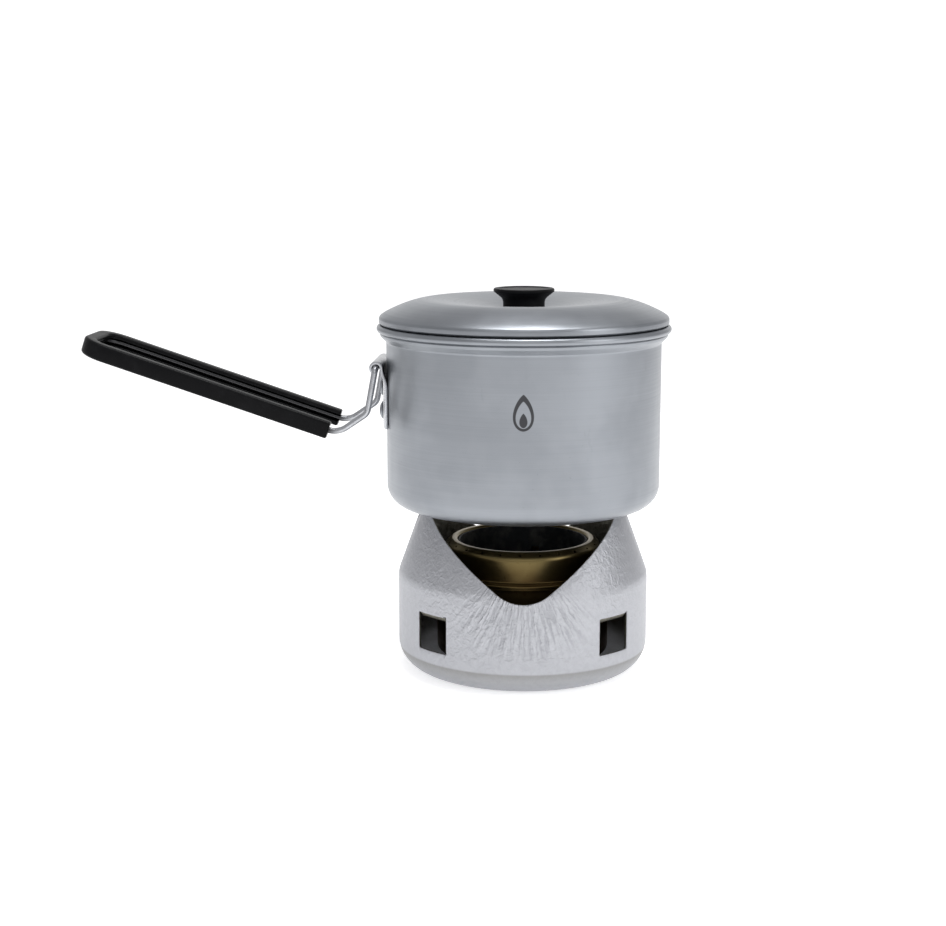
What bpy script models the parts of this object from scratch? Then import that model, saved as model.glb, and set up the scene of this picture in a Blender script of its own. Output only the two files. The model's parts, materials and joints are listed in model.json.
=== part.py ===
"""Small alcohol spirit stove: pressed windshield stand, brass burner, pot with folding handle and lid.

Metres, +Z up.  The origin is the centre of the stand's flat underside, and the pot's handle
points along -X.  The stand, the burner and the pot share the Z axis.
"""
import math

import bmesh
import bpy
from mathutils import Matrix, Vector

MM = 0.001

# fits shared by every piece
CLEARANCE = 0.3 * MM            # between pieces that touch or pass through one another
TURN_STEPS = 40                 # facets round the stand, the pot and the lid
BURNER_STEPS = 32               # facets round the burner's pieces
SMALL_STEPS = 24                # facets round the knob and its washer
PIN_STEPS = 12                  # facets round rivets and the screw
ARC_STEPS = 4                   # segments in a rounded corner
CUTTER_MARGIN = 5 * MM          # how far a cutter runs past what it cuts

# windshield stand: one aluminium pressing
STAND_RADIUS = 53.0 * MM
STAND_SHEET = 1.2 * MM
STAND_CORNER = 12.5 * MM        # floor to wall
STAND_WALL_TOP = 41.2 * MM      # where the wall starts to lean inwards
STAND_LEAN = math.radians(19.9)
STAND_HEIGHT = 70.1 * MM
STAND_KNEE = 12.0 * MM          # rounding where the wall starts to lean
STAND_TURN = math.radians(2.3)  # the notches are turned this far from square with the handle

# the two large V notches and the two small ones, on the developed wall
NOTCH_TIP = 34.5 * MM
NOTCH_SPREAD = 1.30             # half width gained for each unit up the wall
NOTCH_ROUND = 17.0 * MM
SIDE_TIP = 61.0 * MM
SIDE_SPREAD = 0.85
SIDE_ROUND = 1.5 * MM

# four air windows and the tabs bent in from them
WINDOW_WIDTH = 16.4 * MM
WINDOW_BOTTOM = 15.2 * MM
WINDOW_HEIGHT = 15.4 * MM
WINDOW_ANGLES = (45.0, 135.0, 225.0, 315.0)
TAB_WIDTH = 14.8 * MM
TAB_LAND = 3.6 * MM             # flat end of a tab, under the burner's flange
TAB_BEND = 2.4 * MM             # bend at the window's top edge
TAB_HANG = 5.9 * MM             # where the tab's slope would meet the wall, under the window's top edge
TAB_LAP = 1.8 * MM              # how far a tab's root runs up behind the wall
TAB_SET_IN = 1.6 * MM           # and how far inside the wall that is
TAB_TIP_PLAY = 0.5 * MM         # from the burner's cup to a tab's end
TAB_LAND_ROUND = 2.0 * MM

# burner: brass, hangs on the tabs by its flange
BURNER_BASE = 6.5 * MM          # height of the burner's underside over the ground
CUP_RADIUS = 36.5 * MM
CUP_CORNER = 3.0 * MM
BRASS_SHEET = 0.8 * MM
FLANGE_HEIGHT = 34.5 * MM       # burner underside to flange underside
FLANGE_WIDTH = 2.0 * MM         # how far the flange stands out from the cup
COLLAR_SET_BACK = 3.3 * MM      # the collar stands this far inside the cup
COLLAR_HEIGHT = 12.5 * MM       # top of the flange to the rim
COLLAR_SHOULDER = 2.6 * MM
RIM_SLOPE = 2.4 * MM            # slanted step from the collar to the rim, both ways
RIM_INNER_ROUND = 1.0 * MM
RIM_OUTER_ROUND = 1.2 * MM
RIM_STEPS = 2                   # segments in the roundings of the thin brass
CUP_LIP_SET_BACK = 0.4 * MM     # the cup's lip ends this far inside the flange
RIM_WIDTH = 5.5 * MM            # collar to the inner side of the turned down rim
RIM_DEPTH = 5.0 * MM
INNER_WALL_SHEET = 0.7 * MM
INNER_WALL_DROP = 0.8 * MM      # its top lies this far under the rim
JET_COUNT = 24
JET_RADIUS = 0.5 * MM
JET_DROP = 1.2 * MM             # rim to the middle of a jet
JET_FACETS = 6
SLOT_COUNT = 4
SLOT_WIDTH = 3.4 * MM
SLOT_HEIGHT = 1.8 * MM
SLOT_DROP = 10.2 * MM           # rim to the top of a slot
SLOT_TURN = math.radians(80.0)
WICK_HEIGHT = 27.0 * MM
WICK_ROUND = 1.5 * MM
WICK_OUTER_PLAY = 0.5 * MM
WICK_INNER_PLAY = 0.4 * MM

# pot
POT_RADIUS = 57.5 * MM
POT_SHEET = 1.0 * MM
POT_HEIGHT = 76.0 * MM          # underside to the top of the rim bead
POT_CORNER = 9.0 * MM
BEAD_RADIUS = 1.6 * MM
BEAD_REACH = 4.0 * MM           # outermost point of the bead from the pot's wall
FLARE_HEIGHT = 6.8 * MM         # from the start of the flare to the top of the bead
FLARE_BEND = 3.0 * MM
BEAD_START = 160                # the bead runs between these angles, in degrees
BEAD_STOP = -50
BEAD_STEPS = 7
BAND_REACH = 0.3 * MM           # narrow band pressed in under the bead
BAND_TOP = 1.35 * MM            # heights of its top, middle and end under the bead's middle
BAND_MIDDLE = 2.0 * MM
BAND_END = 3.0 * MM
BAND_TOP_ROUND = 0.3 * MM
BAND_ROUND = 0.8 * MM
BAND_END_ROUND = 1.2 * MM
BAND_STEPS = 3
WALL_END = 0.2 * MM             # the wall's straight part ends this far under the flare

# lid
LID_OVERHANG = 3.0 * MM         # lid edge over the pot's wall
LID_SHEET = 1.0 * MM
LID_SKIRT = 1.9 * MM            # straight part of the edge
LID_EDGE_ROUND = 2.2 * MM
LID_CREST = 41.0 * MM           # radius of the raised ring in the lid's top
LID_RISE = 5.7 * MM             # raised ring over the edge
LID_DISH = 4.1 * MM             # the middle lies this far under the raised ring
LID_OUTER_POWER = 1.6
LID_DISH_POWER = 1.5
LID_STEP = 0.7 * MM             # from the bead up to the skirt's lower edge
LID_CROWN = 0.4 * MM            # where the edge's rounding ends over the skirt
LID_CROWN_ROUND = 1.6 * MM
LID_TOP_STEPS = 4               # facets across each slope of the top
LID_EDGE_SHARE = 0.85           # of the edge's rounding that lies under the top's slope
LID_PLUG = 5.0 * MM             # how far the locating ring reaches into the pot
LID_PLUG_PLAY = 0.6 * MM
SEAT_RADIUS = 10.0 * MM
SEAT_HEIGHT = 0.3 * MM
SEAT_SLOPE = 1.2 * MM

# knob and its screw
KNOB_NECK = 8.7 * MM
KNOB_TOP = 12.7 * MM
KNOB_HEIGHT = 7.9 * MM
KNOB_FLARE_START = 3.4 * MM
KNOB_RIM = 1.3 * MM
KNOB_DISH = 0.4 * MM            # the middle of the knob's top lies this far under its rim
KNOB_DISH_EDGE = 0.82           # shares of the knob's radius where the dish ends and the rim starts
KNOB_RIM_EDGE = 0.88
KNOB_DISH_ROUND = 0.3 * MM
KNOB_RIM_ROUND = 0.6 * MM
KNOB_UNDER_ROUND = 0.5 * MM
KNOB_NECK_ROUND = 3.0 * MM
KNOB_STEPS = 2
BORE_TIP_PLAY = 0.6 * MM        # from the screw's tip to the end of its bore
SCREW_RADIUS = 2.0 * MM
SCREW_GRIP = 6.0 * MM           # thread length inside the knob
SCREW_HEAD = 3.8 * MM
SCREW_HEAD_HEIGHT = 2.2 * MM
SCREW_TIP_ROUND = 0.4 * MM
SCREW_HEAD_ROUND = 1.2 * MM
DRIVER_SLOT = 0.9 * MM
DRIVER_SLOT_DEPTH = 0.8 * MM
WASHER_RADIUS = 5.5 * MM
WASHER_SHEET = 0.8 * MM

# handle bracket on the pot's wall
BRACKET_SHEET = 1.2 * MM
BRACKET_WIDTH = 31.0 * MM
HINGE_DROP = 17.4 * MM          # top of the rim bead to the hinge axis
BRACKET_LENGTH = 25.5 * MM      # hinge axis to the lower edge
BRACKET_BLEND = 4.0 * MM        # height over which the plate turns from curved to straight
CURL_ANGLE = math.radians(250.0)
RIVET_RADIUS = 2.0 * MM
RIVET_HEAD = 3.7 * MM
RIVET_HEAD_HEIGHT = 1.4 * MM
RIVET_EDGE = 0.4 * MM           # straight edge of a rivet's head
RIVET_CROWN_RADIUS = 0.7        # shares of the head where its crown flattens
RIVET_CROWN_HEIGHT = 0.85
RIVET_PITCH = 10.0 * MM
RIVET_INSET = 6.0 * MM          # lower rivet to the bracket's lower edge

# folding handle: one wire loop with a grip sleeve
WIRE_RADIUS = 1.3 * MM
WIRE_TAIL = 8.0 * MM            # wire inside each end of the hinge curl
WIRE_KNEE_OUT = 2.6 * MM        # the limb leans this far towards the pot before it turns out
WIRE_KNEE_DROP = 18.6 * MM
WIRE_HEEL_OUT = 6.5 * MM        # where the wire joins the grip's line
GRIP_DROP = 30.6 * MM           # hinge axis to the grip's line
GRIP_PITCH = math.radians(18.5) # the grip's line rises away from the pot
GRIP_START = 10.5 * MM
GRIP_LENGTH = 109.9 * MM
GRIP_HEIGHT = 7.2 * MM
GRIP_THICKNESS = 5.2 * MM
LOOP_CORNER = 8.5 * MM
BARREL_BEND = 2.0 * MM          # the wire's bends, from the hinge outwards
KNEE_BEND = 4.5 * MM
HEEL_BEND = 9.0 * MM
BEND_STEPS = 5
LIMB_GAP = 0.4 * MM             # from the barrel's end to the limb
GRIP_EDGE = 1.1 * MM
GRIP_MOUTH = 5.0 * MM           # how far the groove's cutter runs past the sleeve

# sizes that follow from the ones above
PARTS = bpy.data.collections.new("alcohol_spirit_stove")
CUTTERS = bpy.data.collections.new("cutters")
FLANGE_RADIUS = CUP_RADIUS + FLANGE_WIDTH
COLLAR_RADIUS = CUP_RADIUS - COLLAR_SET_BACK
RIM_RADIUS = COLLAR_RADIUS - RIM_WIDTH
LID_RADIUS = POT_RADIUS + LID_OVERHANG
FLANGE_UNDERSIDE = BURNER_BASE + FLANGE_HEIGHT
FLANGE_TOP = FLANGE_UNDERSIDE + 2 * BRASS_SHEET + CLEARANCE
RIM_TOP = FLANGE_TOP + COLLAR_HEIGHT
POT_BOTTOM = STAND_HEIGHT + CLEARANCE
POT_TOP = POT_BOTTOM + POT_HEIGHT
LID_BOTTOM = POT_TOP + CLEARANCE
BRACKET_RADIUS = POT_RADIUS + CLEARANCE + BRACKET_SHEET / 2
CURL_RADIUS = WIRE_RADIUS + CLEARANCE + BRACKET_SHEET / 2
HINGE_X = -(BRACKET_RADIUS + CURL_RADIUS)
HINGE_Z = POT_TOP - HINGE_DROP
LIMB_Y = BRACKET_WIDTH / 2 + LIMB_GAP + WIRE_RADIUS


def clear_scene():
    for item in list(bpy.data.objects):
        bpy.data.objects.remove(item, do_unlink=True)
    for collection in (PARTS, CUTTERS):
        bpy.context.scene.collection.children.link(collection)


def material(name, color, roughness, metallic):
    made = bpy.data.materials.new(name)
    made.use_nodes = True
    shader = made.node_tree.nodes["Principled BSDF"]
    shader.inputs["Base Color"].default_value = (*color, 1.0)
    shader.inputs["Roughness"].default_value = roughness
    shader.inputs["Metallic"].default_value = metallic
    return made


def add_object(name, data, finish=None, collection=PARTS):
    made = bpy.data.objects.new(name, data)
    collection.objects.link(made)
    if finish:
        data.materials.append(finish)
    if collection == CUTTERS:
        made.hide_render = True
        made.display_type = "WIRE"
    return made


def fillet(points, radii, steps=ARC_STEPS):
    """The points of a path whose inner corners are rounded by arcs of the given radii."""
    points = [Vector(point) for point in points]
    path = [points[0]]
    for before, corner, after, radius in zip(points, points[1:], points[2:], radii):
        into = (corner - before).normalized()
        out = (after - corner).normalized()
        turn = into.angle(out)
        if radius <= 0 or turn < 0.001:
            path.append(corner)
            continue
        reach = radius * math.tan(turn / 2)
        middle = corner + (out - into).normalized() * (radius / math.cos(turn / 2))
        start = corner - into * reach - middle
        stop = corner + out * reach - middle
        for step in range(steps + 1):
            share = step / steps
            first = math.sin((1 - share) * turn) / math.sin(turn)
            second = math.sin(share * turn) / math.sin(turn)
            path.append(middle + start * first + stop * second)
    path.append(points[-1])
    return path


def arc(center, radius, start, stop, steps):
    """Points on a circle between two angles in degrees, in a profile's plane."""
    angles = [math.radians(start + (stop - start) * step / steps) for step in range(steps + 1)]
    return [Vector((center[0] + radius * math.cos(a), center[1] + radius * math.sin(a))) for a in angles]


def turned(name, profile, finish, steps=TURN_STEPS, ring=False, collection=PARTS):
    """A profile of (radius, height) points turned about Z; ring closes a profile clear of the axis."""
    mesh = bpy.data.meshes.new(name)
    count = len(profile)
    edges = [(i, i + 1) for i in range(count - 1)]
    if ring:
        edges.append((count - 1, 0))
    mesh.from_pydata([(point[0], 0.0, point[1]) for point in profile], edges, [])
    made = add_object(name, mesh, finish, collection)
    screw = made.modifiers.new("turn", "SCREW")
    screw.steps = screw.render_steps = steps
    screw.use_merge_vertices = True
    screw.merge_threshold = 0.00001
    return made


def cut(piece, cutter, operation="DIFFERENCE"):
    boolean = piece.modifiers.new(operation.lower(), "BOOLEAN")
    boolean.operation = operation
    boolean.solver = "EXACT"
    boolean.object = cutter


def outline_object(name, points, half_thickness, finish=None, collection=PARTS, filled=True):
    """A flat curve through the points, extruded both ways along its own Z."""
    curve = bpy.data.curves.new(name, "CURVE")
    curve.dimensions = "2D"
    curve.fill_mode = "BOTH" if filled else "NONE"
    curve.extrude = half_thickness
    spline = curve.splines.new("POLY")
    spline.points.add(len(points) - 1)
    for slot, point in zip(spline.points, points):
        slot.co = (point[0], point[1], 0.0, 1.0)
    spline.use_cyclic_u = filled
    return add_object(name, curve, finish, collection)


def curve_to_mesh(source):
    """Replaces a curve object by a mesh object of the same name, material and place."""
    bpy.context.view_layer.update()
    graph = bpy.context.evaluated_depsgraph_get()
    mesh = bpy.data.meshes.new_from_object(source.evaluated_get(graph))
    name, collection = source.name, source.users_collection[0]
    matrix = source.matrix_world.copy()
    shape = bmesh.new()
    shape.from_mesh(mesh)
    bmesh.ops.remove_doubles(shape, verts=shape.verts, dist=0.000001)
    shape.to_mesh(mesh)
    shape.free()
    bpy.data.objects.remove(source, do_unlink=True)
    made = add_object(name, mesh, None, collection)
    made.matrix_world = matrix
    return made


def place(piece, location=(0, 0, 0), rotation=(0, 0, 0)):
    piece.location = location
    piece.rotation_euler = rotation
    return piece


def smooth(piece, degrees=35):
    piece.data.shade_smooth()
    piece.data.set_sharp_from_angle(angle=math.radians(degrees))


def add_box(name, size, center, collection=CUTTERS):
    shape = bmesh.new()
    bmesh.ops.create_cube(shape, size=1.0)
    bmesh.ops.scale(shape, vec=size, verts=shape.verts)
    bmesh.ops.translate(shape, vec=center, verts=shape.verts)
    mesh = bpy.data.meshes.new(name)
    shape.to_mesh(mesh)
    shape.free()
    return add_object(name, mesh, None, collection)


def wall_radius(height):
    """Outer radius of the stand's wall at a height above its corner."""
    return STAND_RADIUS - max(height - STAND_WALL_TOP, 0.0) * math.tan(STAND_LEAN)


def on_wall(across, along):
    """A point of the developed wall, as seen square on: sideways place and height."""
    over = max(along - STAND_WALL_TOP, 0.0)
    height = min(along, STAND_WALL_TOP) + over * math.cos(STAND_LEAN)
    radius = wall_radius(height)
    angle = max(-1.5, min(1.5, across / radius))
    return Vector((radius * math.sin(angle), height))


def notch_cutter(name, tip, spread, rounding, turn):
    """A V with a rounded tip, straight on the developed wall, run right through the stand."""
    wall_length = STAND_WALL_TOP + (STAND_HEIGHT - STAND_WALL_TOP) / math.cos(STAND_LEAN)
    reach = wall_length - tip
    corners = [(-spread * reach, wall_length), (0.0, tip), (spread * reach, wall_length)]
    flat = fillet(corners, [rounding], 8)
    left = [flat[0].lerp(flat[1], step / 4) for step in range(4)]
    right = [flat[-2].lerp(flat[-1], (step + 1) / 4) for step in range(4)]
    edge = [on_wall(*point) for point in left + flat[1:-1] + right]
    over = STAND_HEIGHT + CUTTER_MARGIN
    points = [Vector((edge[0][0], over))] + edge + [Vector((edge[-1][0], over))]
    cutter = outline_object(name, points, STAND_RADIUS + CUTTER_MARGIN, None, CUTTERS)
    place(cutter, rotation=(math.pi / 2, 0, turn))
    return curve_to_mesh(cutter)


def support_tabs():
    """The four tabs, bent in and up from the windows' top edges to the burner's flange."""
    top = WINDOW_BOTTOM + WINDOW_HEIGHT
    root = STAND_RADIUS - STAND_SHEET / 2
    tip = CUP_RADIUS + TAB_TIP_PLAY
    land_height = FLANGE_UNDERSIDE - CLEARANCE - STAND_SHEET / 2
    side = fillet(
        [(root, top + TAB_LAP), (root - TAB_SET_IN, top - TAB_HANG), (tip + TAB_LAND, land_height), (tip, land_height)],
        [TAB_BEND, TAB_LAND_ROUND],
        ARC_STEPS,
    )
    tabs = []
    for number, angle in enumerate(WINDOW_ANGLES):
        tab = outline_object(f"tab_{number}", side, TAB_WIDTH / 2, None, CUTTERS, filled=False)
        place(tab, rotation=(math.pi / 2, 0, math.radians(angle) + STAND_TURN))
        tab = curve_to_mesh(tab)
        thick = tab.modifiers.new("sheet", "SOLIDIFY")
        thick.thickness = STAND_SHEET
        thick.offset = 0.0
        thick.use_even_offset = True
        tabs.append(tab)
    return tabs


def make_stand(finish):
    top_radius = wall_radius(STAND_HEIGHT)
    profile = fillet(
        [(top_radius, STAND_HEIGHT), (STAND_RADIUS, STAND_WALL_TOP), (STAND_RADIUS, 0.0), (0.0, 0.0)],
        [STAND_KNEE, STAND_CORNER],
    )
    stand = turned("windshield_stand", profile, finish)
    sheet = stand.modifiers.new("sheet", "SOLIDIFY")
    sheet.thickness = STAND_SHEET
    sheet.offset = -1.0
    sheet.use_even_offset = True
    cut(stand, notch_cutter("notch_cutter", NOTCH_TIP, NOTCH_SPREAD, NOTCH_ROUND, STAND_TURN))
    side_turn = STAND_TURN + math.pi / 2
    cut(stand, notch_cutter("side_notch_cutter", SIDE_TIP, SIDE_SPREAD, SIDE_ROUND, side_turn))
    middle = (0, 0, WINDOW_BOTTOM + WINDOW_HEIGHT / 2)
    for number, angle in enumerate(WINDOW_ANGLES[:2]):
        size = (2 * (STAND_RADIUS + CUTTER_MARGIN), WINDOW_WIDTH, WINDOW_HEIGHT)
        window = add_box(f"window_cutter_{number}", size, middle)
        place(window, rotation=(0, 0, math.radians(angle) + STAND_TURN))
        cut(stand, window)
    for tab in support_tabs():
        cut(stand, tab, "UNION")
    smooth(stand)


def make_burner(brass, felt):
    base, sheet = BURNER_BASE, BRASS_SHEET
    flange_low = FLANGE_UNDERSIDE
    lip_radius = FLANGE_RADIUS - CUP_LIP_SET_BACK
    inner = fillet(
        [(0, base + sheet), (CUP_RADIUS - sheet, base + sheet), (CUP_RADIUS - sheet, flange_low + sheet),
         (lip_radius, flange_low + sheet)],
        [CUP_CORNER - sheet, 0.0],
    )
    outer = fillet(
        [(lip_radius, flange_low), (CUP_RADIUS, flange_low), (CUP_RADIUS, base), (0, base)],
        [0.0, CUP_CORNER],
    )
    cup = turned("burner_cup", inner + outer, brass, steps=BURNER_STEPS)
    smooth(cup)

    low = FLANGE_TOP - sheet
    rim_inner = RIM_RADIUS
    top = RIM_TOP
    rim_outer = rim_inner + RIM_SLOPE
    upper = fillet(
        [(rim_inner, top - RIM_DEPTH), (rim_inner, top), (rim_outer, top), (COLLAR_RADIUS, top - RIM_SLOPE),
         (COLLAR_RADIUS, FLANGE_TOP), (FLANGE_RADIUS, FLANGE_TOP), (FLANGE_RADIUS, low)],
        [RIM_INNER_ROUND, RIM_OUTER_ROUND, COLLAR_SHOULDER, 0.0, 0.0],
        RIM_STEPS,
    )
    lower = fillet(
        [(COLLAR_RADIUS - sheet, low), (COLLAR_RADIUS - sheet, top - RIM_SLOPE - 0.4 * sheet),
         (rim_outer - 0.3 * sheet, top - sheet), (rim_inner + sheet, top - sheet),
         (rim_inner + sheet, top - RIM_DEPTH)],
        [COLLAR_SHOULDER - sheet, 0.0, 0.0],
        RIM_STEPS,
    )
    shell = turned("burner_upper_shell", upper + lower, brass, steps=BURNER_STEPS, ring=True)
    jets = bmesh.new()
    reach = (COLLAR_RADIUS + rim_outer) / 2
    for number in range(JET_COUNT):
        made = bmesh.ops.create_cone(
            jets, cap_ends=True, segments=JET_FACETS, radius1=JET_RADIUS, radius2=JET_RADIUS, depth=CUTTER_MARGIN
        )["verts"]
        bmesh.ops.rotate(jets, verts=made, cent=(0, 0, 0), matrix=Matrix.Rotation(math.radians(45), 3, "Y"))
        bmesh.ops.translate(jets, verts=made, vec=(reach, 0, top - JET_DROP))
        turn = 2 * math.pi * number / JET_COUNT
        bmesh.ops.rotate(jets, verts=made, cent=(0, 0, 0), matrix=Matrix.Rotation(turn, 3, "Z"))
    mesh = bpy.data.meshes.new("jet_cutter")
    jets.to_mesh(mesh)
    jets.free()
    cut(shell, add_object("jet_cutter", mesh, None, CUTTERS))
    smooth(shell)

    wall_outer = rim_inner - CLEARANCE
    wall_inner = wall_outer - INNER_WALL_SHEET
    wall_low = base + sheet + CLEARANCE
    wall_top = top - INNER_WALL_DROP
    wall = turned(
        "burner_inner_wall",
        [(wall_inner, wall_low), (wall_inner, wall_top), (wall_outer, wall_top), (wall_outer, wall_low)],
        brass, steps=BURNER_STEPS, ring=True,
    )
    slot_z = top - SLOT_DROP - SLOT_HEIGHT / 2
    for number in range(SLOT_COUNT // 2):
        size = (2 * wall_outer + CUTTER_MARGIN, SLOT_WIDTH, SLOT_HEIGHT)
        slot = add_box(f"slot_cutter_{number}", size, (0, 0, slot_z))
        place(slot, rotation=(0, 0, SLOT_TURN + number * 2 * math.pi / SLOT_COUNT))
        cut(wall, slot)
    smooth(wall)

    wick_outer = CUP_RADIUS - sheet - WICK_OUTER_PLAY
    wick_inner = wall_outer + WICK_INNER_PLAY
    wick_low = wall_low
    corner = CUP_CORNER - sheet
    wick = turned(
        "burner_wick",
        fillet(
            [(wick_inner, wick_low + WICK_HEIGHT / 2), (wick_inner, wick_low + WICK_HEIGHT),
             (wick_outer, wick_low + WICK_HEIGHT), (wick_outer, wick_low), (wick_inner, wick_low)],
            [WICK_ROUND, WICK_ROUND, corner], RIM_STEPS,
        ),
        felt, steps=SMALL_STEPS, ring=True,
    )
    smooth(wick)


def make_pot(finish):
    inside = POT_RADIUS - POT_SHEET
    bead_r = POT_RADIUS + BEAD_REACH - BEAD_RADIUS
    bead = (bead_r, POT_TOP - BEAD_RADIUS)
    flare = POT_TOP - FLARE_HEIGHT
    floor = POT_BOTTOM
    profile = fillet(
        [(0, floor + POT_SHEET), (inside, floor + POT_SHEET), (inside, flare), (bead_r - BEAD_RADIUS, bead[1])],
        [POT_CORNER - POT_SHEET, FLARE_BEND],
    )
    profile += arc(bead, BEAD_RADIUS, BEAD_START, BEAD_STOP, BEAD_STEPS)
    band = bead_r + BAND_REACH
    profile += fillet(
        [(bead_r, bead[1] - BAND_TOP), (band, bead[1] - BAND_MIDDLE), (bead_r, bead[1] - BAND_END),
         (POT_RADIUS, flare - WALL_END), (POT_RADIUS, floor), (0, floor)],
        [BAND_TOP_ROUND, BAND_ROUND, BAND_END_ROUND, POT_CORNER],
        BAND_STEPS,
    )
    pot = turned("pot", profile, finish)
    for cutter in rivet_cutters():
        cut(pot, cutter)
    smooth(pot)
    return pot


def rivet_heights():
    low = HINGE_Z - BRACKET_LENGTH + RIVET_INSET
    return (low, low + RIVET_PITCH)


def rivet_cutters():
    """One hole cutter for each rivet, shared by the pot and the bracket."""
    found = [item for item in CUTTERS.objects if item.name.startswith("rivet_cutter")]
    if found:
        return found
    made = []
    for number, height in enumerate(rivet_heights()):
        shape = bmesh.new()
        radius = RIVET_RADIUS + CLEARANCE
        bmesh.ops.create_cone(
            shape, cap_ends=True, segments=PIN_STEPS, radius1=radius, radius2=radius, depth=2 * CUTTER_MARGIN
        )
        mesh = bpy.data.meshes.new(f"rivet_cutter_{number}")
        shape.to_mesh(mesh)
        shape.free()
        cutter = add_object(f"rivet_cutter_{number}", mesh, None, CUTTERS)
        made.append(place(cutter, (-POT_RADIUS, 0, height), (0, math.pi / 2, 0)))
    return made


def make_bracket(finish):
    """Plate that follows the pot's wall and curls outwards into the hinge barrel."""
    low = HINGE_Z - BRACKET_LENGTH
    rows = [Vector((HINGE_X + CURL_RADIUS, low + (HINGE_Z - low) * step / 8)) for step in range(8)]
    rows += arc((HINGE_X, HINGE_Z), CURL_RADIUS, 0, math.degrees(CURL_ANGLE), 12)
    columns = 9
    shape = bmesh.new()
    bmesh.ops.create_grid(shape, x_segments=columns - 1, y_segments=len(rows) - 1, size=1.0)
    for vertex in shape.verts:
        row = rows[round((vertex.co.y + 1) / 2 * (len(rows) - 1))]
        across = vertex.co.x * BRACKET_WIDTH / 2
        share = (HINGE_Z - BRACKET_BLEND - row[1]) / BRACKET_BLEND
        follows = max(0.0, min(1.0, share)) if row[0] >= HINGE_X + CURL_RADIUS * 0.99 else 0.0
        wrap = BRACKET_RADIUS - math.sqrt(BRACKET_RADIUS ** 2 - across ** 2)
        vertex.co = (row[0] + wrap * follows, across, row[1])
    mesh = bpy.data.meshes.new("handle_bracket")
    shape.to_mesh(mesh)
    shape.free()
    bracket = add_object("handle_bracket", mesh, finish)
    sheet = bracket.modifiers.new("sheet", "SOLIDIFY")
    sheet.thickness = BRACKET_SHEET
    sheet.offset = 0.0
    sheet.use_even_offset = True
    for cutter in rivet_cutters():
        cut(bracket, cutter)
    smooth(bracket)


def make_rivets(finish):
    """Solid rivets along X: a head inside the pot, the shank, and a head on the bracket."""
    inside = POT_RADIUS - POT_SHEET
    sag = inside - math.sqrt(inside ** 2 - RIVET_HEAD ** 2)
    inner_face = -(inside - sag - CLEARANCE)
    outer_face = -(BRACKET_RADIUS + BRACKET_SHEET / 2 + CLEARANCE)
    grip = inner_face - outer_face
    edge = RIVET_EDGE
    crown = RIVET_HEAD_HEIGHT
    profile = [(0, grip + crown)]
    shoulder, flat = RIVET_HEAD * RIVET_CROWN_RADIUS, crown * RIVET_CROWN_HEIGHT
    profile += [(shoulder, grip + flat), (RIVET_HEAD, grip + edge), (RIVET_HEAD, grip)]
    profile += [(RIVET_RADIUS, grip), (RIVET_RADIUS, 0), (RIVET_HEAD, 0), (RIVET_HEAD, -edge)]
    profile += [(shoulder, -flat), (0, -crown)]
    for name, height in zip(("bracket_rivet_lower", "bracket_rivet_upper"), rivet_heights()):
        rivet = turned(name, profile, finish, steps=PIN_STEPS)
        place(rivet, (outer_face, 0, height), (0, math.pi / 2, 0))
        smooth(rivet)


def loop_path(offset, start):
    """The handle's loop in its own plane, moved outwards from the wire's centre line."""
    side = LIMB_Y + offset
    end = -(GRIP_START + GRIP_LENGTH - GRIP_THICKNESS / 2 + offset)
    corner = max(LOOP_CORNER + offset, CLEARANCE)
    return fillet([(start, -side), (end, -side), (end, side), (start, side)], [corner, corner], BEND_STEPS + 1)


def make_handle(steel, plastic):
    hinge = bpy.data.objects.new("handle_hinge", None)
    hinge.empty_display_size = 0.01
    PARTS.objects.link(hinge)
    place(hinge, (HINGE_X, 0, HINGE_Z), (0, GRIP_PITCH, 0))

    end = -(GRIP_START + GRIP_LENGTH - GRIP_THICKNESS / 2)
    tail_y = BRACKET_WIDTH / 2 - WIRE_TAIL
    half = [(0, -tail_y, 0), (0, -LIMB_Y, 0), (WIRE_KNEE_OUT, -LIMB_Y, -WIRE_KNEE_DROP),
            (-WIRE_HEEL_OUT, -LIMB_Y, -GRIP_DROP), (end, -LIMB_Y, -GRIP_DROP)]
    other = [(x, -y, z) for x, y, z in reversed(half)]
    bends = [BARREL_BEND, KNEE_BEND, HEEL_BEND, LOOP_CORNER]
    path = fillet(half + other, bends + bends[::-1], BEND_STEPS)
    curve = bpy.data.curves.new("handle_wire", "CURVE")
    curve.dimensions = "3D"
    curve.bevel_depth = WIRE_RADIUS
    curve.bevel_resolution = 2
    curve.use_fill_caps = True
    spline = curve.splines.new("POLY")
    spline.points.add(len(path) - 1)
    for slot, point in zip(spline.points, path):
        slot.co = (*point, 1.0)
    wire = add_object("handle_wire", curve, steel)
    wire.parent = hinge

    half_thick = GRIP_THICKNESS / 2
    outline = loop_path(half_thick, -GRIP_START) + list(reversed(loop_path(-half_thick, -GRIP_START)))
    grip = curve_to_mesh(outline_object("grip_sleeve", outline, GRIP_HEIGHT / 2, plastic))
    slot_wall = WIRE_RADIUS + CLEARANCE
    open_end = -GRIP_START + GRIP_MOUTH
    slot = loop_path(slot_wall, open_end) + list(reversed(loop_path(-half_thick - GRIP_MOUTH, open_end)))
    slot_cutter = curve_to_mesh(outline_object("grip_slot_cutter", slot, slot_wall, None, CUTTERS))
    for piece in (grip, slot_cutter):
        piece.parent = hinge
        piece.location = (0, 0, -GRIP_DROP)
    edge = grip.modifiers.new("edges", "BEVEL")
    edge.width = GRIP_EDGE
    edge.segments = 2
    edge.limit_method = "ANGLE"
    cut(grip, slot_cutter)
    smooth(grip)


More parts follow.
